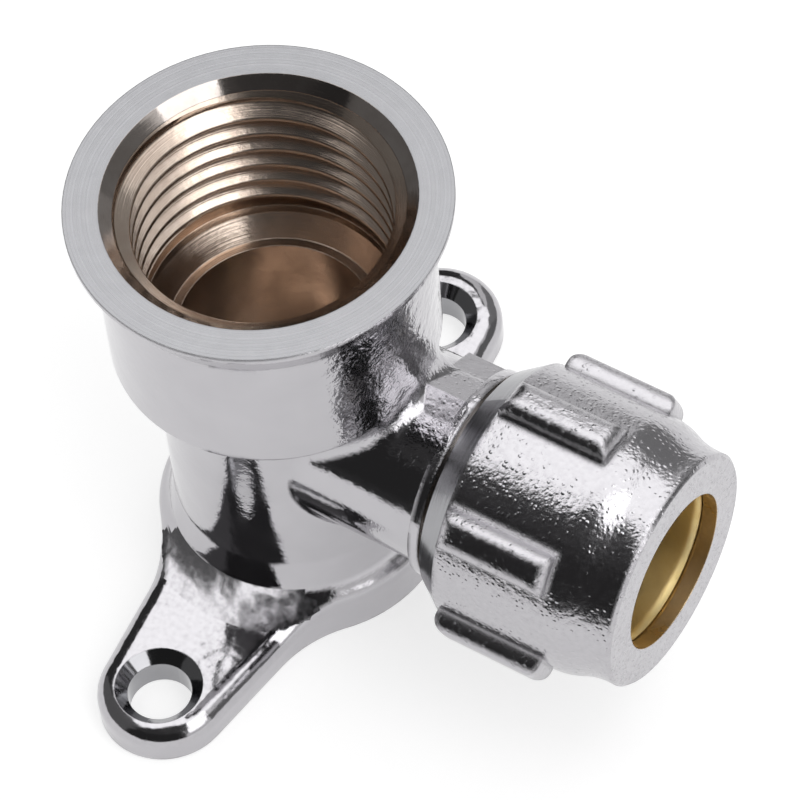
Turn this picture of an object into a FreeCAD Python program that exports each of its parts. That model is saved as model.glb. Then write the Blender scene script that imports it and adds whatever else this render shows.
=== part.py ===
"""Wall plate elbow: a screwed socket over a two-eared wall plate, with a compression branch at its side.

Three pieces, in millimetres. The origin is the centre of the plate's back face, on the socket's axis.
+Z runs along the socket to its mouth, +X along the branch to the nut's face, and the ears lie along Y.
"""
import FreeCAD
import Part
import Sketcher
import math
import os

# The driving dimensions, one sheet cell each. Lengths are in millimetres and angles in degrees.
DIMENSIONS = {
    # Wall plate
    "disc_radius": 10.95,
    "disc_thickness": 5.0,
    "ear_thickness": 3.0,
    "ear_end_radius": 5.0,
    "ear_taper": 7.0,
    "ear_run_radius": 10.0,
    "plate_shift": 0.45,
    "plate_edge_round": 1.5,
    "hollow_run": 2.95,
    "screw_offset": 19.5,
    "screw_hole_radius": 2.42,
    "countersink_radius": 3.31,
    "countersink_depth": 0.85,
    # Neck and socket
    "neck_radius": 9.2,
    "neck_flare": 0.55,
    "neck_flare_height": 2.6,
    "foot_clearance": 0.36,
    "foot_round": 0.35,
    "socket_radius": 12.2,
    "socket_height": 40.4,
    "rim_radius": 13.95,
    "rim_lip": 0.5,
    "rim_flare_height": 3.2,
    "mouth_radius": 11.38,
    "mouth_depth": 0.85,
    "socket_thread_radius": 10.4775,
    "socket_thread_depth": 13.0,
    "relief_radius": 9.35,
    "relief_length": 2.2,
    "relief_cone_length": 1.4,
    "shoulder_radius": 7.95,
    "socket_bore_radius": 7.25,
    "bore_floor_height": 12.4,
    # Branch
    "branch_height": 17.74,
    "branch_radius": 7.5,
    "branch_blend": 1.6,
    "flats_start": 12.6,
    "flats_rise": 0.6,
    "flats_sink": 0.1,
    "flats_turn": -5.0,
    "collar_start": 15.9,
    "collar_width": 0.85,
    "collar_rise": 0.7,
    "stub_end": 27.6,
    "stub_chamfer": 0.4,
    "stub_mouth_depth": 0.9,
    "coupling_minor_radius": 7.475,
    "coupling_major_radius": 8.331,
    "pipe_bore_radius": 6.13,
    "pipe_stop": 16.4,
    "waterway_radius": 5.2,
    # Compression nut
    "nut_gap": 0.5,
    "nut_overhang": 5.8,
    "nut_thread_clearance": 0.07,
    "nut_back_wall": 0.35,
    "nut_bevel_length": 1.9,
    "nut_wall": 1.699,
    "nut_nose_setback": 5.1,
    "nut_nose_length": 4.2,
    "nut_nose_drop": 0.9,
    "nut_face_bevel": 0.25,
    "nut_hole_length": 1.1,
    "nut_cone_length": 1.6,
    "nut_inner_radius": 7.6,
    "nut_inner_gap": 0.3,
    "rib_setback": 0.2,
    "rib_nose_gap": 0.15,
    "rib_height": 1.35,
    "rib_foot_width": 3.7,
    "rib_top_width": 2.8,
    "rib_round": 1.05,
    "rib_turn": -7.0,
    # Olive
    "olive_wall": 0.79,
    "olive_edge_wall": 0.17,
    "olive_clearance": 0.3,
}
RIB_COUNT = 6
EAR_COUNT = 2
FLAT_ANGLE = 45.0
OVERCUT = 1.0
# The most of the free neck above or below the branch that its blend takes up.
BLEND_SHARE = 0.7
SHEET = "Sizes"


class Size:
    """A length that carries its value and the sheet expression that it comes from."""

    def __init__(self, value, text):
        self.value = float(value)
        self.text = text

    def __add__(self, other):
        other = as_size(other)
        return Size(self.value + other.value, f"({self.text} + {other.text})")

    def __sub__(self, other):
        other = as_size(other)
        return Size(self.value - other.value, f"({self.text} - {other.text})")

    def __mul__(self, other):
        other = as_size(other)
        return Size(self.value * other.value, f"({self.text} * {other.text})")

    def __truediv__(self, other):
        other = as_size(other)
        return Size(self.value / other.value, f"({self.text} / {other.text})")

    def __neg__(self):
        return Size(-self.value, f"(-1 * {self.text})")


def as_size(number):
    if isinstance(number, Size):
        return number
    return Size(number, repr(float(number)))


def cosine(angle):
    return Size(math.cos(math.radians(angle.value)), f"cos({angle.text} * 1 deg)")


def sine(angle):
    return Size(math.sin(math.radians(angle.value)), f"sin({angle.text} * 1 deg)")


def root(size):
    return Size(math.sqrt(size.value), f"sqrt({size.text})")


def smallest(*sizes):
    return Size(min(size.value for size in sizes), "min(" + "; ".join(size.text for size in sizes) + ")")


def apart(first, second):
    return Size(abs(first.value - second.value), f"abs({first.text} - {second.text})")


def make_sheet(doc):
    sheet = doc.addObject("Spreadsheet::Sheet", SHEET)
    for row, (alias, number) in enumerate(DIMENSIONS.items(), start=1):
        sheet.set(f"A{row}", alias)
        sheet.set(f"B{row}", str(number))
        sheet.setAlias(f"B{row}", alias)
    doc.recompute()
    return {alias: Size(sheet.get(alias), f"{SHEET}.{alias}") for alias in DIMENSIONS}


def new_body(doc, label):
    body = doc.addObject("PartDesign::Body", label)
    body.Label = label
    return body


def origin_feature(body, role):
    return next(item for item in body.Origin.OriginFeatures if item.Role == role)


def new_sketch(body, plane, name, shift=None):
    """A sketch on one of the body's origin planes, moved by shift, a (direction, Size) pair."""
    sketch = body.newObject("Sketcher::SketchObject", name)
    sketch.AttachmentSupport = [(origin_feature(body, plane), "")]
    sketch.MapMode = "FlatFace"
    if shift:
        direction, amount = shift
        sketch.setExpression(f"AttachmentOffset.Base.{direction}", amount.text)
    return sketch


def bind(sketch, constraint, size):
    index = sketch.addConstraint(constraint)
    sketch.setExpression(f"Constraints[{index}]", size.text)


def hold_point(sketch, geometry, end, x, y):
    """Fixes a sketch point at two sizes from the sketch's origin."""
    for kind, axis, size in (("DistanceX", -2, x), ("DistanceY", -1, y)):
        if size.value == 0.0:
            sketch.addConstraint(Sketcher.Constraint("PointOnObject", geometry, end, axis))
        else:
            bind(sketch, Sketcher.Constraint(kind, -1, 1, geometry, end, size.value), size)


def draw_profile(sketch, points, bends=None):
    """Closes a profile through points of two sizes.

    Sides are straight, apart from those in bends: side to (radius, hand), an arc whose centre lies to the
    left of the way round for hand 1 and to the right for hand -1.
    """
    bends = bends or {}
    corners = [(as_size(x), as_size(y)) for x, y in points]
    vectors = [FreeCAD.Vector(x.value, y.value, 0) for x, y in corners]
    count = len(corners)
    ends = []
    for side in range(count):
        start = vectors[side]
        end = vectors[(side + 1) % count]
        if side not in bends:
            sketch.addGeometry(Part.LineSegment(start, end))
            ends.append((1, 2))
            continue
        radius, hand = bends[side]
        chord = end - start
        rise = math.sqrt(radius.value ** 2 - chord.Length ** 2 / 4)
        left = FreeCAD.Vector(-chord.y, chord.x, 0) / chord.Length
        centre = (start + end) / 2 + left * (rise * hand)
        first, last = (start, end) if hand == 1 else (end, start)
        angles = [math.atan2(point.y - centre.y, point.x - centre.x) for point in (first, last)]
        circle = Part.Circle(centre, FreeCAD.Vector(0, 0, 1), radius.value)
        sketch.addGeometry(Part.ArcOfCircle(circle, *angles))
        bind(sketch, Sketcher.Constraint("Radius", side, radius.value), radius)
        ends.append((1, 2) if hand == 1 else (2, 1))
    for side in range(count):
        following = (side + 1) % count
        meeting = (side, ends[side][1], following, ends[following][0])
        sketch.addConstraint(Sketcher.Constraint("Coincident", *meeting))
        hold_point(sketch, side, ends[side][0], *corners[side])
    return sketch


def turned(body, kind, name, sketch, axis):
    """A Revolution or a Groove of a sketch about one of its own axes."""
    feature = body.newObject(f"PartDesign::{kind}", name)
    feature.Profile = sketch
    feature.ReferenceAxis = (sketch, [axis])
    feature.Angle = 360.0
    body.Document.recompute()
    return feature


def padded(body, name, sketch, length):
    feature = body.newObject("PartDesign::Pad", name)
    feature.Profile = sketch
    feature.setExpression("Length", length.text)
    body.Document.recompute()
    return feature


def middle(edge):
    return edge.valueAt((edge.FirstParameter + edge.LastParameter) / 2)


def rounded(body, name, base, radius, wanted):
    """A fillet on every edge of the base feature whose middle point is wanted."""
    names = [f"Edge{i}" for i, edge in enumerate(base.Shape.Edges, start=1) if wanted(edge, middle(edge))]
    if not names:
        raise RuntimeError(f"{name} finds no edge")
    feature = body.newObject("PartDesign::Fillet", name)
    feature.Base = (base, names)
    feature.setExpression("Radius", radius.text)
    body.Document.recompute()
    return feature


def patterned(body, name, feature, axis, count):
    pattern = body.newObject("PartDesign::PolarPattern", name)
    pattern.Originals = [feature]
    pattern.Axis = (origin_feature(body, axis), [""])
    pattern.Angle = 360.0
    pattern.Occurrences = count
    body.Tip = pattern
    body.Document.recompute()
    return pattern


def near(first, second, margin=0.02):
    return abs(first - second) < margin


def draw_plate(sketch, d):
    """The plate's outline: a disc and two tapering ears that run into it in hollow curves."""
    offset = d["screw_offset"].value
    end_radius = d["ear_end_radius"].value
    run_radius = d["ear_run_radius"].value
    disc_radius = d["disc_radius"].value
    taper = math.radians(d["ear_taper"].value)
    along = FreeCAD.Vector(math.sin(taper), math.cos(taper), 0)
    outward = FreeCAD.Vector(math.cos(taper), -math.sin(taper), 0)
    ear_tip = FreeCAD.Vector(0, -offset, 0)
    side_foot = ear_tip + outward * end_radius
    base = side_foot + outward * run_radius
    reach = (disc_radius + run_radius) ** 2
    travel = -base.dot(along) - math.sqrt(base.dot(along) ** 2 - base.dot(base) + reach)
    run_centre = base + along * travel
    side_head = run_centre - outward * run_radius
    disc_foot = run_centre * (disc_radius / (disc_radius + run_radius))

    def corner(point, sign_x, sign_y):
        return FreeCAD.Vector(point.x * sign_x, point.y * sign_y, 0)

    def add_arc(centre, radius, start, end, clockwise):
        first = math.atan2(start.y - centre.y, start.x - centre.x)
        last = math.atan2(end.y - centre.y, end.x - centre.x)
        if clockwise:
            first, last = last, first
        circle = Part.Circle(centre, FreeCAD.Vector(0, 0, 1), radius)
        return sketch.addGeometry(Part.ArcOfCircle(circle, first, last))

    # Each piece is (geometry, first end, last end), in order round the outline, counter-clockwise.
    chain = []
    for sign in (1, -1):
        tip = add_arc(ear_tip * sign, end_radius, corner(side_foot, -sign, sign),
                      corner(side_foot, sign, sign), False)
        hold_point(sketch, tip, 3, as_size(0), -d["screw_offset"] if sign == 1 else d["screw_offset"])
        bind(sketch, Sketcher.Constraint("Radius", tip, end_radius), d["ear_end_radius"])
        chain.append((tip, 1, 2))
        rising_side = Part.LineSegment(corner(side_foot, sign, sign), corner(side_head, sign, sign))
        rise = sketch.addGeometry(rising_side)
        chain.append((rise, 1, 2))
        run = add_arc(corner(run_centre, sign, sign), run_radius, corner(side_head, sign, sign),
                      corner(disc_foot, sign, sign), True)
        bind(sketch, Sketcher.Constraint("Radius", run, run_radius), d["ear_run_radius"])
        chain.append((run, 2, 1))
        side = add_arc(FreeCAD.Vector(0, 0, 0), disc_radius, corner(disc_foot, sign, sign),
                       corner(disc_foot, sign, -sign), False)
        sketch.addConstraint(Sketcher.Constraint("Coincident", side, 3, -1, 1))
        bind(sketch, Sketcher.Constraint("Radius", side, disc_radius), d["disc_radius"])
        chain.append((side, 1, 2))
        back_run = add_arc(corner(run_centre, sign, -sign), run_radius, corner(disc_foot, sign, -sign),
                           corner(side_head, sign, -sign), True)
        bind(sketch, Sketcher.Constraint("Radius", back_run, run_radius), d["ear_run_radius"])
        chain.append((back_run, 2, 1))
        falling_side = Part.LineSegment(corner(side_head, sign, -sign), corner(side_foot, sign, -sign))
        fall = sketch.addGeometry(falling_side)
        chain.append((fall, 1, 2))
        steep = as_size(90.0) - d["ear_taper"]
        blunt = as_size(90.0) + d["ear_taper"]
        leans = (steep, blunt) if sign == 1 else (-blunt, -steep)
        for line, angle in zip((rise, fall), leans):
            turn = Size(math.radians(angle.value), f"{angle.text} * 1 deg")
            bind(sketch, Sketcher.Constraint("Angle", line, turn.value), turn)
    for place, (geometry, _, last) in enumerate(chain):
        following, first, _ = chain[(place + 1) % len(chain)]
        sketch.addConstraint(Sketcher.Constraint("Tangent", geometry, last, following, first))
    return sketch


def make_elbow(doc, d):
    """The one-piece casting: wall plate, neck, screwed socket and branch."""
    body = new_body(doc, "elbow_body")
    height = d["branch_height"]

    # Wall plate: the outline at the disc's thickness, hollowed down to the ears, with its top edge rounded.
    # The cast outline sits a little to one side of the drilled holes.
    plate_sketch = draw_plate(new_sketch(body, "XY_Plane", "plate_outline", ("y", d["plate_shift"])), d)
    padded(body, "plate", plate_sketch, d["disc_thickness"])
    neck_foot = d["neck_radius"] + d["neck_flare"]
    hollow_end = neck_foot + d["hollow_run"]
    drop = d["disc_thickness"] - d["ear_thickness"]
    hollow_radius = (d["hollow_run"] * d["hollow_run"] + drop * drop) / (drop * 2)
    plate_reach = d["screw_offset"] + d["ear_end_radius"] + OVERCUT
    hollow_points = [
        (neck_foot, d["disc_thickness"]),
        (hollow_end, d["ear_thickness"]),
        (plate_reach, d["ear_thickness"]),
        (plate_reach, d["disc_thickness"] + OVERCUT),
        (neck_foot, d["disc_thickness"] + OVERCUT),
    ]
    hollow_bends = {0: (hollow_radius, 1)}
    hollow_sketch = draw_profile(new_sketch(body, "XZ_Plane", "ear_hollow"), hollow_points, hollow_bends)
    hollow = turned(body, "Groove", "ear_tops", hollow_sketch, "V_Axis")
    tip_reach = d["screw_offset"].value + d["ear_end_radius"].value
    plate_middle = d["plate_shift"].value
    rounded(body, "plate_edge", hollow, d["plate_edge_round"],
            lambda edge, point: near(abs(point.y - plate_middle), tip_reach)
            and near(point.z, d["ear_thickness"].value))

    # Neck and socket, turned about Z.
    foot_height = height + d["branch_radius"] + d["foot_clearance"]
    foot_drop = d["socket_radius"] - d["neck_radius"]
    neck_points = [
        (0, 0),
        (neck_foot, 0),
        (neck_foot, d["disc_thickness"]),
        (d["neck_radius"], d["disc_thickness"] + d["neck_flare_height"]),
        (d["neck_radius"], foot_height - foot_drop),
        (d["socket_radius"], foot_height),
        (d["socket_radius"], d["socket_height"] - d["rim_lip"] - d["rim_flare_height"]),
        (d["rim_radius"], d["socket_height"] - d["rim_lip"]),
        (d["rim_radius"], d["socket_height"]),
        (0, d["socket_height"]),
    ]
    neck_sketch = draw_profile(new_sketch(body, "XZ_Plane", "neck_profile"), neck_points)
    neck = turned(body, "Revolution", "neck_and_socket", neck_sketch, "V_Axis")
    rounded(body, "socket_foot", neck, d["foot_round"],
            lambda edge, point: near(point.z, foot_height.value)
            and near(math.hypot(point.x, point.y), d["socket_radius"].value))

    # Branch, turned about its own axis: barrel, collar and the stub that carries the coupling thread.
    collar_end = d["collar_start"] + d["collar_width"]
    collar_radius = d["branch_radius"] + d["collar_rise"]
    branch_points = [
        (0, 0),
        (0, d["branch_radius"]),
        (d["collar_start"], d["branch_radius"]),
        (d["collar_start"], collar_radius),
        (collar_end, collar_radius),
        (collar_end, d["coupling_minor_radius"]),
        (d["stub_end"] - d["stub_chamfer"], d["coupling_minor_radius"]),
        (d["stub_end"], d["coupling_minor_radius"] - d["stub_chamfer"]),
        (d["stub_end"], 0),
    ]
    branch_sketch = draw_profile(new_sketch(body, "XZ_Plane", "branch_profile", ("y", height)), branch_points)
    branch = turned(body, "Revolution", "branch", branch_sketch, "H_Axis")

    def on_blend(edge, point):
        """The curve where the branch meets the neck and the socket's foot."""
        from_axis = math.hypot(point.y, point.z - height.value)
        return near(from_axis, d["branch_radius"].value) and 0.0 < point.x < d["socket_radius"].value

    room_below = apart(height - d["branch_radius"], d["disc_thickness"] + d["neck_flare_height"])
    room_above = apart(height + d["branch_radius"], foot_height - foot_drop)
    blend = smallest(d["branch_blend"], room_below * BLEND_SHARE, room_above * BLEND_SHARE)
    rounded(body, "branch_blend", branch, blend, on_blend)

    # Cast flats on the branch's upper side, about two corners. The near face runs out on the round.
    flats_sketch = new_sketch(body, "YZ_Plane", "flats_section", ("z", d["flats_start"]))
    flats_sketch.setExpression("AttachmentOffset.Base.y", height.text)
    corner = d["branch_radius"] + d["flats_rise"]
    inner = d["branch_radius"] - d["flats_sink"]
    lean = d["flats_turn"]
    reach = root(corner * corner - inner * inner)
    half_face = as_size(FLAT_ANGLE / 2)

    def around(radius, angle):
        """A point of the section, at an angle from the top towards -Y."""
        return -(radius * sine(angle)), radius * cosine(angle)

    top_y, top_z = around(corner, lean)
    near_y = top_y * (inner * inner / (corner * corner)) - cosine(lean) * (inner * reach / corner)
    near_z = top_z * (inner * inner / (corner * corner)) - sine(lean) * (inner * reach / corner)
    far_turn = lean - FLAT_ANGLE
    flat_points = [
        (0, 0),
        around(corner * cosine(half_face), far_turn - half_face),
        around(corner, far_turn),
        (top_y, top_z),
        (near_y, near_z),
    ]
    draw_profile(flats_sketch, flat_points)
    padded(body, "branch_flats", flats_sketch, d["collar_start"] - d["flats_start"])

    # The socket's thread bore, relief with its coned foot, shoulder and waterway, turned about Z.
    thread_end = d["socket_height"] - d["socket_thread_depth"]
    shoulder = thread_end - d["relief_length"]
    socket_bore_points = [
        (0, d["socket_height"]),
        (d["mouth_radius"], d["socket_height"]),
        (d["socket_thread_radius"], d["socket_height"] - d["mouth_depth"]),
        (d["socket_thread_radius"], thread_end),
        (d["relief_radius"], thread_end),
        (d["relief_radius"], shoulder + d["relief_cone_length"]),
        (d["shoulder_radius"], shoulder),
        (d["socket_bore_radius"], shoulder),
        (d["socket_bore_radius"], d["bore_floor_height"]),
        (0, d["bore_floor_height"]),
    ]
    socket_bore_sketch = draw_profile(new_sketch(body, "XZ_Plane", "socket_bore_profile"), socket_bore_points)
    turned(body, "Groove", "socket_bore", socket_bore_sketch, "V_Axis")

    # The branch's waterway, pipe socket and coned mouth.
    branch_bore_points = [
        (0, 0),
        (0, d["waterway_radius"]),
        (d["pipe_stop"], d["waterway_radius"]),
        (d["pipe_stop"], d["pipe_bore_radius"]),
        (d["stub_end"] - d["stub_mouth_depth"], d["pipe_bore_radius"]),
        (d["stub_end"], d["pipe_bore_radius"] + d["stub_mouth_depth"]),
        (d["stub_end"], 0),
    ]
    branch_bore_sketch = draw_profile(
        new_sketch(body, "XZ_Plane", "branch_bore_profile", ("y", height)), branch_bore_points)
    turned(body, "Groove", "branch_bore", branch_bore_sketch, "H_Axis")

    # Countersunk screw hole in one ear, repeated in the other.
    hole_points = [
        (0, 0),
        (d["screw_hole_radius"], 0),
        (d["screw_hole_radius"], d["ear_thickness"] - d["countersink_depth"]),
        (d["countersink_radius"], d["ear_thickness"]),
        (0, d["ear_thickness"]),
    ]
    hole_shift = ("x", -d["screw_offset"])
    hole_sketch = draw_profile(new_sketch(body, "YZ_Plane", "screw_hole_profile", hole_shift), hole_points)
    hole = turned(body, "Groove", "screw_hole", hole_sketch, "V_Axis")
    patterned(body, "screw_holes", hole, "Z_Axis", EAR_COUNT)
    return body


def nut_stations(d):
    """Where the nut's back face, face and hole lie along the branch."""
    back = d["collar_start"] + d["collar_width"] + d["nut_gap"]
    face = d["stub_end"] + d["nut_overhang"]
    hole = face - d["nut_hole_length"]
    return back, face, hole


def make_nut(doc, d):
    """The ribbed nut, turned about X, bevelled behind and drawn in at the nose."""
    body = new_body(doc, "compression_nut")
    back, face, hole = nut_stations(d)
    thread_wall = d["coupling_major_radius"] + d["nut_thread_clearance"]
    bevel_end = back + d["nut_bevel_length"]
    nose = face - d["nut_nose_setback"]
    barrel_radius = thread_wall + d["nut_wall"]
    nose_drop = d["nut_nose_drop"]
    nose_radius = barrel_radius - nose_drop
    nose_length = d["nut_nose_length"]
    nose_bend = (nose_length * nose_length + nose_drop * nose_drop) / (nose_drop * 4)
    thread_end = d["stub_end"] + d["nut_inner_gap"]
    points = [
        (back, thread_wall),
        (back, thread_wall + d["nut_back_wall"]),
        (bevel_end, barrel_radius),
        (nose, barrel_radius),
        (nose + nose_length / 2, barrel_radius - nose_drop / 2),
        (nose + nose_length, nose_radius),
        (face - d["nut_face_bevel"], nose_radius),
        (face, nose_radius - d["nut_face_bevel"]),
        (face, d["pipe_bore_radius"]),
        (hole, d["pipe_bore_radius"]),
        (hole - d["nut_cone_length"], d["nut_inner_radius"]),
        (thread_end, d["nut_inner_radius"]),
        (thread_end, thread_wall),
    ]
    nose_bends = {3: (nose_bend, -1), 4: (nose_bend, 1)}
    sketch = draw_profile(new_sketch(body, "XZ_Plane", "nut_profile"), points, nose_bends)
    turned(body, "Revolution", "barrel", sketch, "H_Axis")

    # One rib with a crowned top, six times round.
    rib_top = barrel_radius + d["rib_height"]
    rib_root = thread_wall + d["nut_back_wall"]
    rib_start = bevel_end + d["rib_setback"]
    rib_sketch = new_sketch(body, "YZ_Plane", "rib_section", ("z", rib_start))
    rib_points = [
        (-(d["rib_foot_width"] / 2), rib_root),
        (d["rib_foot_width"] / 2, rib_root),
        (d["rib_top_width"] / 2, rib_top),
        (-(d["rib_top_width"] / 2), rib_top),
    ]
    draw_profile(rib_sketch, rib_points)
    rib = padded(body, "rib", rib_sketch, nose - d["rib_nose_gap"] - rib_start)
    ribs = patterned(body, "ribs", rib, "X_Axis", RIB_COUNT)

    def on_rib(edge, point):
        """The edges round a rib's top."""
        return all(math.hypot(vertex.Y, vertex.Z) > rib_top.value - 0.05 for vertex in edge.Vertexes)

    rounded(body, "rib_tops", ribs, d["rib_round"], on_rib)
    turn = FreeCAD.Rotation(FreeCAD.Vector(1, 0, 0), d["rib_turn"].value)
    body.Placement = FreeCAD.Placement(FreeCAD.Vector(0, 0, d["branch_height"].value), turn)
    body.setExpression("Placement.Base.z", d["branch_height"].text)
    return body


def make_olive(doc, d):
    """The brass sealing ring, coned at both ends, between the nut's cone and the stub's mouth."""
    body = new_body(doc, "olive")
    _, _, hole = nut_stations(d)
    front = hole - d["olive_clearance"]
    back = d["stub_end"] - d["stub_mouth_depth"] + d["olive_clearance"]
    bore = d["pipe_bore_radius"]
    edge = bore + d["olive_edge_wall"]
    crown = bore + d["olive_wall"]
    rise = d["olive_wall"] - d["olive_edge_wall"]
    nut_slope = (d["nut_inner_radius"] - d["pipe_bore_radius"]) / d["nut_cone_length"]
    points = [
        (back, bore),
        (back, edge),
        (back + rise, crown),
        (front - rise / nut_slope, crown),
        (front, edge),
        (front, bore),
    ]
    sketch = draw_profile(new_sketch(body, "XZ_Plane", "olive_profile"), points)
    turned(body, "Revolution", "ring", sketch, "H_Axis")
    body.setExpression("Placement.Base.z", d["branch_height"].text)
    return body


def check(doc, bodies):
    """Stops if any feature failed or any piece isn't one valid solid."""
    for item in doc.Objects:
        if "Invalid" in item.State or "Error" in item.State:
            raise RuntimeError(f"{item.Name} failed: {item.State}")
    for body in bodies:
        shape = body.Shape
        if shape.isNull() or not shape.isValid() or len(shape.Solids) != 1:
            raise RuntimeError(f"{body.Label} isn't one valid solid")


def main():
    doc = FreeCAD.newDocument("wall_plate_elbow")
    sizes = make_sheet(doc)
    bodies = [make_elbow(doc, sizes), make_nut(doc, sizes), make_olive(doc, sizes)]
    doc.recompute()
    check(doc, bodies)
    os.makedirs("parts", exist_ok=True)
    for body in bodies:
        body.Shape.exportStep(f"parts/{body.Label}.step")
        print(body.Label, "volume", round(body.Shape.Volume, 2), "mm3")


main()
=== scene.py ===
"""Looks of the wall plate elbow: chrome, bare metal, threads, studio and camera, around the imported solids."""
import math

import bmesh
import bpy
from mathutils import Matrix, Vector


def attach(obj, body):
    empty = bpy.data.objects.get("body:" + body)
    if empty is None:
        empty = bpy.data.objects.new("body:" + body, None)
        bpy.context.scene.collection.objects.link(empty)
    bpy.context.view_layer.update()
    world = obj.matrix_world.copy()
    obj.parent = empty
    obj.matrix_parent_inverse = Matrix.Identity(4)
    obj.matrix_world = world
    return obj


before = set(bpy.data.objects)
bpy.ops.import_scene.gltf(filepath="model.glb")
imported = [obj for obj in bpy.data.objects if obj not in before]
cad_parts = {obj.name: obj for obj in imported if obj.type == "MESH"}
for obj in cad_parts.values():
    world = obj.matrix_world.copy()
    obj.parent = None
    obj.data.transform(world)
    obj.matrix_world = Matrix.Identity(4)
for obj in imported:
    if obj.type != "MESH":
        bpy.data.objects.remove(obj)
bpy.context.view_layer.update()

MM = 0.001
TURN = 2 * math.pi

# Places on the fitting, in millimetres, as in the part's source
BRANCH_HEIGHT = 17.74
SCREW_OFFSET = 19.5
EAR_TOP = 3.0
SOCKET_TOP = 40.4
MOUTH_RADIUS = 11.38
MOUTH_DEPTH = 0.85
THREAD_WALL = 10.4775
THREAD_FOOT = 27.4
RELIEF_RADIUS = 9.35
SHOULDER_HEIGHT = 25.2
BRANCH_RADIUS = 7.5
FLATS_START = 12.55
COLLAR_START = 15.88
STUB_START = 16.75
STUB_RADIUS = 7.475
NUT_START = 17.25
NUT_BEVEL_END = 19.15
NUT_END = 33.4
NUT_WALL = 8.401

# Limits between the finishes' zones, in millimetres
MARGIN = 0.1
HALF_MARGIN = 0.05
FINE_MARGIN = 0.01
RIM_MARGIN = 0.02
WATERWAY_FLOOR = 12.0
WATERWAY_LIMIT = 8.8
WATERWAY_SIDE = 7.3
BRANCH_BORE_START = 4.0
BRANCH_BORE_LIMIT = 6.9
FLATS_LIMIT = 10.0
COUNTERSINK_LIMIT = 3.35
PLATE_LIMIT = 6.0
EARS_START = 8.0
NUT_FACE_DEPTH = 0.3
NUT_INSIDE_LIMIT = 8.6
NUT_HOLE_LIMIT = 6.5
NUT_BEVEL_LIMIT = 10.15
LEAST_RADIUS = 0.001

# Limits of a facet's unit normal: its part up z, away from the axis, or along the branch
RIM_UPWARD = 0.9
BORE_UPWARD = -0.5
SINK_UPWARD = 0.95
EAR_UPWARD = 0.05
HOLLOW_UPWARD = 0.35
SLOPE_OUTWARD = 0.9
FACE_FORWARD = 0.5
INSIDE_OUTWARD = 0.3

# Camera at the photograph's viewing angle
VIEW_AZIMUTH = 37.1454
VIEW_ELEVATION = 54.6657
VIEW_ROLL = -6.2785
VIEW_DISTANCE = 406.4746
VIEW_TARGET = (9.0934, 1.9059, 19.7856)
VIEW_FOCAL_PIXELS = 5556.67
IMAGE_PIXELS = 800
SENSOR_WIDTH = 36.0
NEAR_CLIP = 0.01

BEVEL_SAMPLES = 4
# Places of the Mix node's sockets, which share their names
MIX_FACTOR = 0
MIX_VECTORS = (4, 5)
MIX_COLOURS = (6, 7)
MIX_VECTOR_RESULT = 1
MIX_COLOUR_RESULT = 2


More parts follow.
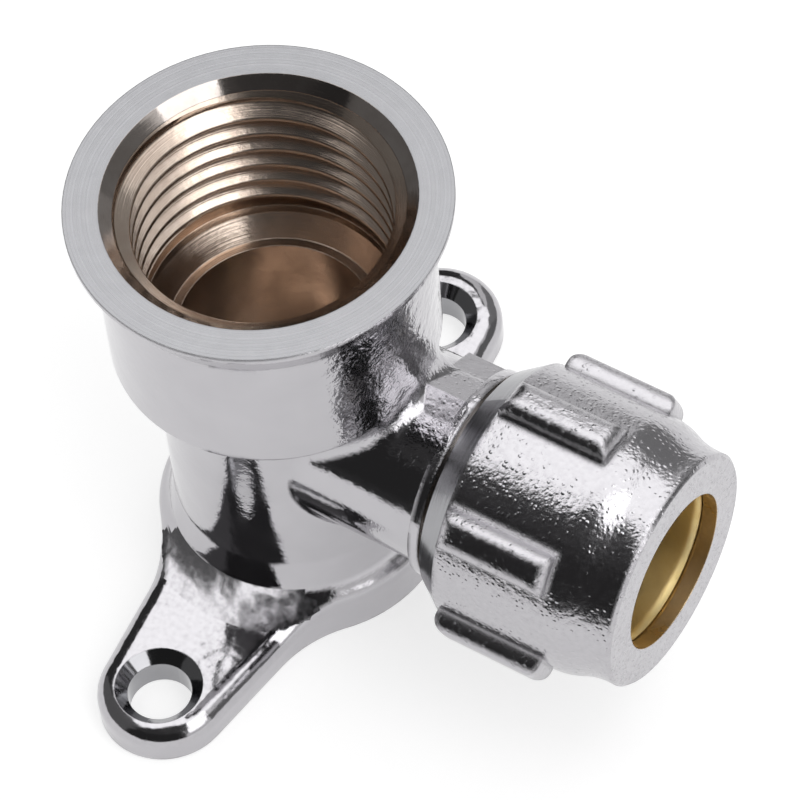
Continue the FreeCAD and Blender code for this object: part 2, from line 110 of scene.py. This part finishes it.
class Nodes:
    """The node tree of a material or of the world, with short ways to add and join its nodes."""

    def __init__(self, name, world=False):
        owners = bpy.data.worlds if world else bpy.data.materials
        self.owner = owners.new(name)
        self.owner.use_nodes = True
        self.tree = self.owner.node_tree
        self.tree.nodes.clear()
        self.output = self.add("ShaderNodeOutputWorld" if world else "ShaderNodeOutputMaterial")

    def add(self, kind, **settings):
        node = self.tree.nodes.new(kind)
        for key, value in settings.items():
            setattr(node, key, value)
        return node

    def join(self, source, target):
        self.tree.links.new(source, target)

    def math(self, operation, first, second=0.0):
        node = self.add("ShaderNodeMath", operation=operation)
        for socket, value in zip(node.inputs, (first, second)):
            if isinstance(value, (int, float)):
                socket.default_value = value
            else:
                self.join(value, socket)
        return node.outputs[0]

    def place(self):
        """The point on the surface in metres, in the fitting's own frame."""
        return self.add("ShaderNodeTexCoord").outputs["Object"]

    def split(self, vector):
        node = self.add("ShaderNodeSeparateXYZ")
        self.join(vector, node.inputs[0])
        return node.outputs

    def radius(self, axis):
        """Distance in metres from the socket's axis (z) or the branch's axis (x)."""
        x, y, z = self.split(self.place())
        if axis == "z":
            first, second = x, y
        else:
            first, second = y, self.math("SUBTRACT", z, BRANCH_HEIGHT * MM)
        total = self.math("ADD", self.math("MULTIPLY", first, first), self.math("MULTIPLY", second, second))
        return self.math("SQRT", total)

    def noise(self, size_mm, detail=2.0, roughness=0.5, along=None):
        """Noise with features of about size_mm, in space or along one number."""
        node = self.add("ShaderNodeTexNoise")
        node.inputs["Scale"].default_value = 1 / (size_mm * MM)
        node.inputs["Detail"].default_value = detail
        node.inputs["Roughness"].default_value = roughness
        if along is None:
            self.join(self.place(), node.inputs["Vector"])
        else:
            node.noise_dimensions = "1D"
            self.join(along, node.inputs["W"])
        return node.outputs[0]

    def drops(self, cell_mm, reach, share):
        """Round drops, 1 on top and 0 around, in a share of the cells. Their reach is a part of a cell."""
        node = self.add("ShaderNodeTexVoronoi")
        node.inputs["Scale"].default_value = 1 / (cell_mm * MM)
        self.join(self.place(), node.inputs["Vector"])
        chance = self.split(node.outputs["Color"])[0]
        kept = self.math("LESS_THAN", chance, share)
        dome = self.span(node.outputs["Distance"], (0.0, reach), (1.0, 0.0))
        return self.math("MULTIPLY", dome, kept)

    def span(self, value, taken, given):
        """A number that goes smoothly over the given pair as value goes over the taken pair."""
        node = self.add("ShaderNodeMapRange", interpolation_type="SMOOTHSTEP")
        node.inputs["From Min"].default_value = taken[0]
        node.inputs["From Max"].default_value = taken[1]
        node.inputs["To Min"].default_value = given[0]
        node.inputs["To Max"].default_value = given[1]
        self.join(value, node.inputs["Value"])
        return node.outputs[0]

    def blend(self, factor, first, second):
        """A colour between two, by factor."""
        node = self.add("ShaderNodeMix", data_type="RGBA")
        self.join(factor, node.inputs[MIX_FACTOR])
        for socket, colour in zip(MIX_COLOURS, (first, second)):
            node.inputs[socket].default_value = (*colour, 1)
        return node.outputs[MIX_COLOUR_RESULT]

    def bump(self, height, depth_mm, under):
        """Relief of depth_mm between heights 0 and 1, on top of the normal under it."""
        node = self.add("ShaderNodeBump")
        node.inputs["Distance"].default_value = depth_mm * MM
        self.join(height, node.inputs["Height"])
        self.join(under, node.inputs["Normal"])
        return node.outputs[0]

    def soft_edge(self, radius_mm):
        """The surface's normal with its sharp edges rounded by radius_mm."""
        node = self.add("ShaderNodeBevel", samples=BEVEL_SAMPLES)
        node.inputs["Radius"].default_value = radius_mm * MM
        return node.outputs[0]

    def levelled(self, normal, share, lean):
        """A normal turned upright by a share, then leaned over a little."""
        level = self.add("ShaderNodeMix", data_type="VECTOR")
        level.inputs[MIX_FACTOR].default_value = share
        self.join(normal, level.inputs[MIX_VECTORS[0]])
        level.inputs[MIX_VECTORS[1]].default_value = (0.0, 0.0, 1.0)
        leaned = self.add("ShaderNodeVectorMath", operation="ADD")
        self.join(level.outputs[MIX_VECTOR_RESULT], leaned.inputs[0])
        leaned.inputs[1].default_value = lean
        unit = self.add("ShaderNodeVectorMath", operation="NORMALIZE")
        self.join(leaned.outputs[0], unit.inputs[0])
        return unit.outputs[0]

    def metal(self, colour, roughness, normal):
        """The finished metal, from a colour, a roughness and a normal of other nodes."""
        node = self.add("ShaderNodeBsdfPrincipled")
        node.inputs["Metallic"].default_value = 1.0
        self.join(colour, node.inputs["Base Color"])
        self.join(roughness, node.inputs["Roughness"])
        self.join(normal, node.inputs["Normal"])
        self.join(node.outputs[0], self.output.inputs["Surface"])
        return self.owner

    def seen(self):
        """1 for the rays that see a background straight, mirrored or through glass, 0 for the others."""
        path = self.add("ShaderNodeLightPath")
        seen = self.math("MAXIMUM", path.outputs["Is Camera Ray"], path.outputs["Is Glossy Ray"])
        return self.math("MAXIMUM", seen, path.outputs["Is Transmission Ray"])


CHROME = (0.50, 0.49, 0.51)
CHROME_SHADE = (0.445, 0.435, 0.455)
SATIN = (0.34, 0.34, 0.353)
SATIN_SHADE = (0.295, 0.295, 0.307)

# Features of the finishes, in millimetres
HAZE_SIZE = 4.0
PIT_SIZE = 0.55
SKIN_SIZE = 1.0
SKIN_DEPTH = 0.12
MARK_SIZE = 1.2
PEEL_SIZE = 0.42
FINE_PEEL_DEPTH = 0.004
CLOUD_SIZE = 2.6
GRIT_SIZE = 0.5
CHROME_EDGE = 0.5
TURNED_EDGE = 0.12
EAR_EDGE = 0.15

# Where the rough skin sets in on the branch's side, along x and up z, in metres
SKIN_X = (7.5 * MM, 11.5 * MM)
SKIN_Z = (20.0 * MM, 25.0 * MM)

# Depths of the marks and pinholes, as shares of the rings' and drops' depths
MARK_SHARE = 0.8
PINHOLE_SHARE = 0.7

# What is added to the ears' unit normal
EAR_LEAN = (-0.09, 0.0, 0.0)

# Stretches of a noise that a roughness or a colour follows
HAZE_RANGE = (0.3, 0.75)
RING_RANGE = (0.2, 0.8)
PEEL_RANGE = (0.3, 0.8)
CLOUD_RANGE = (0.3, 0.7)


def polished_chrome(name, wave_mm, wave_depth, pit_depth, gloss, rough):
    """Plating over a polished casting: slow waves, small pits, a rough skin left on the branch's side."""
    nodes = Nodes(name)
    haze = nodes.noise(HAZE_SIZE, detail=3.0)
    colour = nodes.blend(haze, CHROME, CHROME_SHADE)
    waves = nodes.bump(nodes.noise(wave_mm, detail=1.0), wave_depth, nodes.soft_edge(CHROME_EDGE))
    x, _, z = nodes.split(nodes.place())
    unpolished = nodes.math("MULTIPLY", nodes.span(x, SKIN_X, (0.0, 1.0)), nodes.span(z, SKIN_Z, (0.0, 1.0)))
    grain = nodes.noise(SKIN_SIZE, detail=3.0, roughness=0.6)
    skin = nodes.bump(nodes.math("MULTIPLY", grain, unpolished), SKIN_DEPTH, waves)
    pits = nodes.bump(nodes.noise(PIT_SIZE, roughness=0.6), pit_depth, skin)
    return nodes.metal(colour, nodes.span(haze, HAZE_RANGE, (gloss, rough)), pits)


def turned_chrome(name, axis, groove_mm, depth_mm, gloss, rough):
    """Plating over a face cut on a lathe: fine rings about the axis."""
    nodes = Nodes(name)
    rings = nodes.noise(groove_mm, detail=3.0, roughness=0.65, along=nodes.radius(axis))
    marks = nodes.noise(MARK_SIZE, detail=3.0)
    colour = nodes.blend(marks, SATIN, SATIN_SHADE)
    relief = nodes.bump(rings, depth_mm, nodes.soft_edge(TURNED_EDGE))
    relief = nodes.bump(marks, depth_mm * MARK_SHARE, relief)
    return nodes.metal(colour, nodes.span(rings, RING_RANGE, (gloss, rough)), relief)


def cast_chrome(name, grain_mm, grain_depth, peel_depth, drop_depth, edge_mm, gloss, rough):
    """Plating over a cast skin: slow grains, a fine orange peel, and scattered drops and pinholes."""
    nodes = Nodes(name)
    peel = nodes.noise(PEEL_SIZE)
    colour = nodes.blend(peel, CHROME, CHROME_SHADE)
    relief = nodes.bump(nodes.noise(grain_mm), grain_depth, nodes.soft_edge(edge_mm))
    relief = nodes.bump(peel, peel_depth, relief)
    relief = nodes.bump(nodes.drops(cell_mm=0.42, reach=0.44, share=0.72), drop_depth, relief)
    pinholes = nodes.drops(cell_mm=0.62, reach=0.24, share=0.22)
    relief = nodes.bump(pinholes, -PINHOLE_SHARE * drop_depth, relief)
    return nodes.metal(colour, nodes.span(peel, PEEL_RANGE, (gloss, rough)), relief)


def ear_chrome(name, lump_mm, lump_depth, level_share, gloss, rough):
    """Plating over the ears: cast lumps on a skin that leans a little to one side and is levelled in part."""
    nodes = Nodes(name)
    peel = nodes.noise(PEEL_SIZE)
    colour = nodes.blend(peel, CHROME, CHROME_SHADE)
    upright = nodes.levelled(nodes.soft_edge(EAR_EDGE), level_share, EAR_LEAN)
    relief = nodes.bump(nodes.noise(lump_mm), lump_depth, upright)
    relief = nodes.bump(peel, FINE_PEEL_DEPTH, relief)
    return nodes.metal(colour, nodes.span(peel, PEEL_RANGE, (gloss, rough)), relief)


def bare_metal(name, axis, light, dark, groove_mm, depth_mm, gloss, rough, edge_mm=0.1):
    """Unplated cut metal: tool rings about the axis and a cloudy tarnish."""
    nodes = Nodes(name)
    rings = nodes.noise(groove_mm, roughness=0.6, along=nodes.radius(axis))
    cloud = nodes.noise(CLOUD_SIZE, detail=4.0, roughness=0.6)
    colour = nodes.blend(nodes.span(cloud, CLOUD_RANGE, (0.0, 1.0)), light, dark)
    relief = nodes.bump(rings, depth_mm, nodes.soft_edge(edge_mm))
    relief = nodes.bump(nodes.noise(GRIT_SIZE), depth_mm, relief)
    return nodes.metal(colour, nodes.span(cloud, CLOUD_RANGE, (gloss, rough)), relief)


# Creases sharper than this stay sharp on the threads
CREASE = math.radians(48)


def ridge(name, profile, pitch, start, stop, radius_at, point_at, steps):
    """A closed helical thread ridge. Profile is (offset along the axis, radius) round its section."""
    mesh = bmesh.new()
    count = int(round((stop - start) / pitch * steps))
    loops = []
    for i in range(count + 1):
        along = start + (stop - start) * i / count
        angle = TURN * along / pitch
        loop = []
        for offset, radius in profile:
            height = along + offset
            loop.append(mesh.verts.new(point_at(height, angle, radius_at(height, radius))))
        loops.append(loop)
    size = len(profile)
    for first, second in zip(loops, loops[1:]):
        for k in range(size):
            after = (k + 1) % size
            mesh.faces.new((first[k], first[after], second[after], second[k]))
    mesh.faces.new(loops[0])
    mesh.faces.new(list(reversed(loops[-1])))
    bmesh.ops.recalc_face_normals(mesh, faces=mesh.faces)
    data = bpy.data.meshes.new(name)
    mesh.to_mesh(data)
    mesh.free()
    piece = bpy.data.objects.new(name, data)
    bpy.context.scene.collection.objects.link(piece)
    data.shade_smooth()
    data.set_sharp_from_angle(angle=CREASE)
    return piece


# Crests and roots of a pipe thread are arcs of this share of the pitch. They end where the flanks begin.
THREAD_ROUND = 0.1373
ARC_END = math.radians(62.5)
ARC_STEPS = 5
# A ridge's root stands this far off the wall, and its base lies this far in the metal
ROOT_RISE = 0.01
BASE_SINK = 0.12


def thread_profile(crest, wall, pitch):
    """Section of one ridge on a wall: base in the metal, rounded root, straight flank, rounded crest."""
    half = pitch / 2
    round_off = THREAD_ROUND * pitch
    outward = 1 if wall > crest else -1
    root = wall - outward * ROOT_RISE
    side = [(half, wall + outward * BASE_SINK)]
    for i in range(ARC_STEPS + 1):
        angle = ARC_END * i / ARC_STEPS
        side.append((half - round_off * math.sin(angle), root - outward * round_off * (1 - math.cos(angle))))
    for i in range(ARC_STEPS, 0, -1):
        angle = ARC_END * i / ARC_STEPS
        side.append((round_off * math.sin(angle), crest + outward * round_off * (1 - math.cos(angle))))
    return [(-offset, radius) for offset, radius in side] + [(0.0, crest)] + side[::-1]


# Socket thread: half-inch parallel pipe thread, crests standing in from the wall
SOCKET_PITCH = 1.8143
SOCKET_CREST = 9.3155
SOCKET_PHASE = 36.95
SOCKET_THREAD = (26.3, 40.2)
SOCKET_STEPS = 72
THREAD_SINK = 0.03
BURIED_SHARE = 0.05
SQUEEZE_START = 39.9
SQUEEZE = 0.35
# Turns the helix so that a crest lies on +X at the phase's height
socket_shift = TURN * SOCKET_PHASE / SOCKET_PITCH


def in_socket(height, angle, radius):
    """A point of the socket's thread. Its end in the metal is squeezed to stay under the rim."""
    turned = angle - socket_shift
    squeezed = min(height, SQUEEZE_START + (height - SQUEEZE_START) * SQUEEZE)
    return Vector((radius * math.cos(turned), radius * math.sin(turned), squeezed)) * MM


def socket_limit(height, radius):
    """The thread is cut off by the mouth's cone above and runs into the metal below."""
    height = min(height, SOCKET_TOP)
    cone = THREAD_WALL + (height - SOCKET_TOP + MOUTH_DEPTH) * (MOUTH_RADIUS - THREAD_WALL) / MOUTH_DEPTH
    # A small part of the radius is kept, so that the points buried in the cone stay apart
    radius = max(radius, cone + THREAD_SINK + BURIED_SHARE * (radius - SOCKET_CREST))
    if height < THREAD_FOOT:
        radius = max(radius, RELIEF_RADIUS + HALF_MARGIN)
    return radius


socket_profile = thread_profile(SOCKET_CREST, THREAD_WALL, SOCKET_PITCH)
socket_thread = ridge(
    "socket_thread", socket_profile, SOCKET_PITCH, *SOCKET_THREAD, socket_limit, in_socket, SOCKET_STEPS)
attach(socket_thread, "elbow")

# Coupling thread: three-eighths pipe thread, on the stub and in the nut, half a turn apart
COUPLING_PITCH = 1.337
COUPLING_STEPS = 60
STUB_CREST = 8.31
STUB_THREAD = (17.35, 26.9)
STUB_THREAD_LIMIT = 27.35
NUT_CREST = 7.62
NUT_THREAD = (18.0, 26.3)
NUT_THREAD_LIMIT = 27.0
FADE_GAP = 0.15
FADE_IN = 0.8
FADE_OUT = 0.9
FADE_SINK = 0.1
FADE_RISE = 0.95


def on_branch(height, angle, radius):
    """A point of the stub's thread."""
    y = radius * math.cos(angle)
    z = BRANCH_HEIGHT + radius * math.sin(angle)
    return Vector((height, y, z)) * MM


def in_nut(height, angle, radius):
    """A point of the nut's thread, whose crests lie in the stub's roots."""
    return on_branch(height, angle + math.pi, radius)


def rise(height, start, end):
    """How far a ridge rises out of the metal: it fades at both ends of its thread."""
    share = min((height - start - FADE_GAP) / FADE_IN, (end - height) / FADE_OUT)
    return max(0.0, min(1.0, share)) * FADE_RISE - FADE_SINK


def stub_limit(height, radius):
    return min(radius, STUB_RADIUS + rise(height, STUB_START, STUB_THREAD_LIMIT))


def nut_limit(height, radius):
    return max(radius, NUT_WALL - rise(height, NUT_START, NUT_THREAD_LIMIT))


stub_profile = thread_profile(STUB_CREST, STUB_RADIUS, COUPLING_PITCH)
stub_thread = ridge(
    "stub_thread", stub_profile, COUPLING_PITCH, *STUB_THREAD, stub_limit, on_branch, COUPLING_STEPS)
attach(stub_thread, "elbow")

nut_profile = thread_profile(NUT_CREST, NUT_WALL, COUPLING_PITCH)
nut_thread = ridge(
    "nut_thread", nut_profile, COUPLING_PITCH, *NUT_THREAD, nut_limit, in_nut, COUPLING_STEPS)
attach(nut_thread, "nut")

# Finishes of the body's zones
body_materials = {
    "chrome": polished_chrome(
        "body_chrome", wave_mm=5.0, wave_depth=0.10, pit_depth=0.014, gloss=0.05, rough=0.12),
    "rim": turned_chrome("body_rim", "z", groove_mm=0.2, depth_mm=0.007, gloss=0.22, rough=0.34),
    "mouth": bare_metal(
        "body_mouth", "z", light=(0.54, 0.49, 0.46), dark=(0.44, 0.39, 0.36),
        groove_mm=0.25, depth_mm=0.003, gloss=0.07, rough=0.14),
    "bore": bare_metal(
        "body_bore", "z", light=(0.64, 0.54, 0.46), dark=(0.53, 0.43, 0.36),
        groove_mm=0.15, depth_mm=0.009, gloss=0.16, rough=0.25),
    "ear": ear_chrome("body_ear", lump_mm=2.6, lump_depth=0.11, level_share=0.0, gloss=0.08, rough=0.16),
    "hollow": ear_chrome(
        "body_hollow", lump_mm=3.0, lump_depth=0.16, level_share=0.68, gloss=0.15, rough=0.25),
    "flat": cast_chrome(
        "body_flat", grain_mm=1.6, grain_depth=0.06, peel_depth=0.010, drop_depth=0.01,
        edge_mm=0.15, gloss=0.13, rough=0.24),
    "sink": turned_chrome("body_sink", "z", groove_mm=0.3, depth_mm=0.003, gloss=0.06, rough=0.12),
    "stub": bare_metal(
        "body_stub", "x", light=(0.58, 0.555, 0.55), dark=(0.50, 0.475, 0.46),
        groove_mm=0.3, depth_mm=0.006, gloss=0.16, rough=0.28),
}


def body_zone(centre, normal):
    """Which finish a facet of the casting has, from where it lies and how it faces."""
    x, y, z = centre / MM
    radius = math.hypot(x, y)
    outward = (normal.x * x + normal.y * y) / max(radius, LEAST_RADIUS)
    rho = math.hypot(y, z - BRANCH_HEIGHT)
    if z > SOCKET_TOP - RIM_MARGIN and normal.z > RIM_UPWARD:
        return "rim"
    if z > SOCKET_TOP - MOUTH_DEPTH - FINE_MARGIN and radius < MOUTH_RADIUS and outward < 0:
        return "mouth"
    below_shoulder = WATERWAY_FLOOR < z < SHOULDER_HEIGHT + MARGIN
    if below_shoulder and radius < WATERWAY_LIMIT and x < WATERWAY_SIDE:
        return "bore"
    above_shoulder = z > SHOULDER_HEIGHT - HALF_MARGIN
    if above_shoulder and radius < THREAD_WALL + MARGIN and normal.z > BORE_UPWARD:
        return "bore"
    if x > STUB_START - FINE_MARGIN or (x > BRANCH_BORE_START and rho < BRANCH_BORE_LIMIT):
        return "stub"
    if FLATS_START < x < COLLAR_START and BRANCH_RADIUS + HALF_MARGIN < rho < FLATS_LIMIT:
        return "flat"
    from_screw = math.hypot(x, abs(y) - SCREW_OFFSET)
    if from_screw < COUNTERSINK_LIMIT and normal.z < SINK_UPWARD and z > 0.0:
        return "sink"
    if z < PLATE_LIMIT and abs(y) > EARS_START and normal.z > EAR_UPWARD:
        slope = z > EAR_TOP + FINE_MARGIN and outward > SLOPE_OUTWARD * math.hypot(normal.x, normal.y)
        if not slope:
            return "ear"
        if normal.z > HOLLOW_UPWARD:
            return "hollow"
    return "chrome"


def dress(node, materials, zone):
    """Gives each facet of a CAD node the finish of its zone."""
    names = list(materials)
    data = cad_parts[node].data
    data.materials.clear()
    for material in materials.values():
        data.materials.append(material)
    for polygon in data.polygons:
        polygon.material_index = names.index(zone(polygon.center, polygon.normal))


dress("elbow_body", body_materials, body_zone)

# Finishes of the nut's zones and of the olive
nut_materials = {
    "cast": cast_chrome(
        "nut_cast", grain_mm=2.2, grain_depth=0.03, peel_depth=0.034, drop_depth=0.025,
        edge_mm=0.7, gloss=0.15, rough=0.24),
    "bevel": turned_chrome("nut_bevel", "x", groove_mm=0.2, depth_mm=0.006, gloss=0.13, rough=0.24),
    "face": cast_chrome(
        "nut_face", grain_mm=1.4, grain_depth=0.03, peel_depth=0.02, drop_depth=0.035,
        edge_mm=0.2, gloss=0.2, rough=0.32),
    "hole": bare_metal(
        "nut_hole", "x", light=(0.92, 0.73, 0.46), dark=(0.66, 0.50, 0.30),
        groove_mm=0.3, depth_mm=0.006, gloss=0.26, rough=0.40),
    # Inside the nut the brass is painted darker than the hole's brass: painted shade of the nut's recess, on
    # the wall and the thread ridges
    "thread": bare_metal(
        "nut_inside_painted_shade", "x", light=(0.52, 0.44, 0.32), dark=(0.42, 0.34, 0.23),
        groove_mm=0.3, depth_mm=0.006, gloss=0.2, rough=0.34),
}


def nut_zone(centre, normal):
    """Which finish a facet of the nut has."""
    x, y, z = centre / MM
    rho = math.hypot(y, z - BRANCH_HEIGHT)
    outward = (normal.y * y + normal.z * (z - BRANCH_HEIGHT)) / max(rho, LEAST_RADIUS)
    if x > NUT_END - NUT_FACE_DEPTH and normal.x > FACE_FORWARD:
        return "face"
    if rho < NUT_INSIDE_LIMIT and outward < INSIDE_OUTWARD and x > NUT_START + MARGIN:
        return "hole" if rho < NUT_HOLE_LIMIT else "thread"
    if x < NUT_BEVEL_END + MARGIN and rho < NUT_BEVEL_LIMIT:
        return "bevel"
    return "cast"


dress("compression_nut", nut_materials, nut_zone)
olive_brass = bare_metal(
    "olive_brass", "x", light=(0.98, 0.80, 0.42), dark=(0.88, 0.68, 0.30),
    groove_mm=0.25, depth_mm=0.006, gloss=0.36, rough=0.5, edge_mm=0.9)
dress("olive", {"brass": olive_brass}, lambda centre, normal: "brass")
socket_thread.data.materials.append(body_materials["bore"])
stub_thread.data.materials.append(body_materials["stub"])
nut_thread.data.materials.append(nut_materials["thread"])


# Studio: white floor, white surround, softboxes, dark cards
FLOOR_HALF = 3.0
FLOOR_HEIGHT = -0.0002
FLOOR_GREY = 0.55
FLOOR_GLOW = 0.64
floor_nodes = Nodes("studio_floor")
floor_plain = floor_nodes.add("ShaderNodeBsdfDiffuse")
floor_plain.inputs["Color"].default_value = (FLOOR_GREY, FLOOR_GREY, FLOOR_GREY, 1)
floor_glow = floor_nodes.add("ShaderNodeEmission")
floor_nodes.join(floor_nodes.math("MULTIPLY", floor_nodes.seen(), FLOOR_GLOW), floor_glow.inputs["Strength"])
floor_both = floor_nodes.add("ShaderNodeAddShader")
floor_nodes.join(floor_plain.outputs[0], floor_both.inputs[0])
floor_nodes.join(floor_glow.outputs[0], floor_both.inputs[1])
floor_nodes.join(floor_both.outputs[0], floor_nodes.output.inputs["Surface"])


def staged(name, points, faces, material):
    """A studio sheet or card from its points, in metres."""
    data = bpy.data.meshes.new(name)
    data.from_pydata(points, [], faces)
    data.materials.append(material)
    piece = bpy.data.objects.new(name, data)
    bpy.context.scene.collection.objects.link(piece)
    return piece


FLOOR_SIGNS = ((-1, -1), (1, -1), (1, 1), (-1, 1))
floor_corners = [(x * FLOOR_HALF, y * FLOOR_HALF, FLOOR_HEIGHT) for x, y in FLOOR_SIGNS]
staged("floor", floor_corners, [(0, 1, 2, 3)], floor_nodes.owner)


def reflected_only(piece):
    """Keeps a studio piece out of the picture and out of the light, so that only reflections show it."""
    piece.visible_camera = False
    piece.visible_diffuse = False
    piece.visible_shadow = False
    piece.visible_transmission = False


def plain_grey(name, grey):
    """A material of one even grey, whatever the light."""
    nodes = Nodes(name)
    plain = nodes.add("ShaderNodeEmission")
    plain.inputs["Color"].default_value = (grey, grey, grey, 1)
    nodes.join(plain.outputs[0], nodes.output.inputs["Surface"])
    return nodes.owner


# A dark cloth on the floor in front, which the neck and the branch mirror
CLOTH_GREY = 0.04
CLOTH_CORNERS = ((-0.06, -0.095), (0.09, -0.095), (0.4, -0.5), (-0.33, -0.5))
cloth_points = [(x, y, 0.0) for x, y in CLOTH_CORNERS]
reflected_only(staged("cloth_front", cloth_points, [(0, 1, 2, 3)], plain_grey("cloth_front", CLOTH_GREY)))

CENTRE = Vector((9.0, 0.0, 18.0)) * MM
CARD_DISTANCE = 0.5
NEAR_CARD_DISTANCE = 0.45
CARD_ACROSS = 12
CARD_UP = 8
LAMP_DISTANCE = 0.8


def towards(azimuth, elevation):
    """Unit vector from the fitting; azimuth 0 is -Y, 90 is +X."""
    a = math.radians(azimuth)
    e = math.radians(elevation)
    return Vector((math.sin(a) * math.cos(e), -math.cos(a) * math.cos(e), math.sin(e)))


def sideways(azimuth):
    """Unit vector to the right of someone who looks at the fitting from that azimuth."""
    a = math.radians(azimuth)
    return Vector((math.cos(a), math.sin(a), 0))


def aimed(azimuth, elevation, distance):
    """The place of a lamp that looks at the fitting from that direction, its top edge up."""
    back = towards(azimuth, elevation)
    right = sideways(azimuth)
    turn = Matrix((right, back.cross(right), back)).transposed().to_4x4()
    return Matrix.Translation(CENTRE + back * distance) @ turn


def dark_card(name, azimuths, elevations, grey, distance=CARD_DISTANCE):
    """A curved card round the fitting, seen only in reflections."""
    points = []
    for i in range(CARD_ACROSS + 1):
        for j in range(CARD_UP + 1):
            azimuth = azimuths[0] + (azimuths[1] - azimuths[0]) * i / CARD_ACROSS
            elevation = elevations[0] + (elevations[1] - elevations[0]) * j / CARD_UP
            points.append(CENTRE + towards(azimuth, elevation) * distance)
    faces = []
    column = CARD_UP + 1
    for i in range(CARD_ACROSS):
        for j in range(CARD_UP):
            k = i * column + j
            faces.append((k, k + column, k + column + 1, k + 1))
    reflected_only(staged(name, points, faces, plain_grey(name, grey)))


dark_card("card_front", azimuths=(-34, 52), elevations=(-2, 56), grey=0.03)
dark_card("card_camera", azimuths=(-42, 54), elevations=(40, 80), grey=0.05, distance=NEAR_CARD_DISTANCE)
dark_card("card_left", azimuths=(-100, -34), elevations=(-2, 56), grey=0.14)
dark_card("card_left_back", azimuths=(-150, -100), elevations=(-2, 42), grey=0.04)
dark_card("card_back", azimuths=(155, 195), elevations=(-2, 42), grey=0.26)
dark_card("card_right_back", azimuths=(96, 155), elevations=(-2, 36), grey=0.18)


def softbox(name, azimuth, elevation, half_angles, glow):
    """A soft rectangular lamp aimed at the fitting. Half angles are across and up."""
    lamp = bpy.data.lights.new(name, "AREA")
    lamp.shape = "RECTANGLE"
    lamp.size = 2 * LAMP_DISTANCE * math.tan(math.radians(half_angles[0]))
    lamp.size_y = 2 * LAMP_DISTANCE * math.tan(math.radians(half_angles[1]))
    lamp.energy = glow * math.pi * lamp.size * lamp.size_y
    light = bpy.data.objects.new(name, lamp)
    light.matrix_world = aimed(azimuth, elevation, LAMP_DISTANCE)
    light.visible_camera = False
    bpy.context.scene.collection.objects.link(light)


softbox("lamp_top", azimuth=200, elevation=75, half_angles=(33, 30), glow=1.03)
softbox("lamp_right", azimuth=75, elevation=45, half_angles=(18, 29), glow=1.6)

WORLD_LIGHT = 0.45
world_nodes = Nodes("studio", world=True)
world_shade = world_nodes.add("ShaderNodeBackground")
world_level = world_nodes.math("MAXIMUM", world_nodes.seen(), WORLD_LIGHT)
world_nodes.join(world_level, world_shade.inputs["Strength"])
world_nodes.join(world_shade.outputs[0], world_nodes.output.inputs["Surface"])
bpy.context.scene.world = world_nodes.owner

# Camera
lens = bpy.data.cameras.new("camera")
lens.sensor_width = SENSOR_WIDTH
lens.lens = VIEW_FOCAL_PIXELS * SENSOR_WIDTH / IMAGE_PIXELS
lens.clip_start = NEAR_CLIP
camera = bpy.data.objects.new("camera", lens)
bpy.context.scene.collection.objects.link(camera)
view_back = towards(VIEW_AZIMUTH, VIEW_ELEVATION)
view_right = sideways(VIEW_AZIMUTH)
view_up = view_back.cross(view_right)
roll = math.radians(VIEW_ROLL)
camera_right = view_right * math.cos(roll) + view_up * math.sin(roll)
camera_up = view_up * math.cos(roll) - view_right * math.sin(roll)
camera_turn = Matrix((camera_right, camera_up, view_back)).transposed().to_4x4()
camera_place = (Vector(VIEW_TARGET) + view_back * VIEW_DISTANCE) * MM
camera.matrix_world = Matrix.Translation(camera_place) @ camera_turn
bpy.context.scene.camera = camera
bpy.context.scene.view_settings.view_transform = "Standard"
